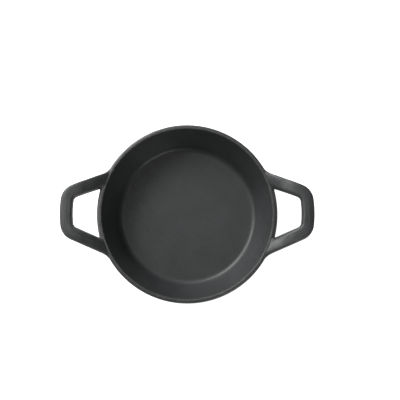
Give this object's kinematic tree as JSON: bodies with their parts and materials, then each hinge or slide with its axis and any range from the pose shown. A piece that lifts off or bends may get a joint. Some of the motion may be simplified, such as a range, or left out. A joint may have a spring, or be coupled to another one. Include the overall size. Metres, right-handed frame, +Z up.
{
  "type": "cast iron skillet",
  "caption": "Round shallow cast iron skillet with a flat floor, flared wall and an arched trapezoid loop handle at each side.",
  "frame": {"origin": "centre of the foot, on the plane the pan stands on", "axes": "+X through the right handle, +Y to the rear, +Z up out of the open top"},
  "size_m": [0.2796, 0.2, 0.0567],
  "materials": {
    "bowl_iron": "fine cast grain under a thin dark coating, satin",
    "rim_iron": "smoothed edge under a thin dark coating, slightly worn",
    "handle_iron": "as-cast skin under a thin dark coating, satin"
  },
  "bodies": {
    "root": {"floor_plate": "bowl_iron", "side_wall": "bowl_iron", "rim": "rim_iron", "right_boss": "handle_iron", "right_rear_arm": "handle_iron", "right_front_arm": "handle_iron", "right_grip": "handle_iron", "left_boss": "handle_iron", "left_rear_arm": "handle_iron", "left_front_arm": "handle_iron", "left_grip": "handle_iron"}
  },
  "joints": []
}
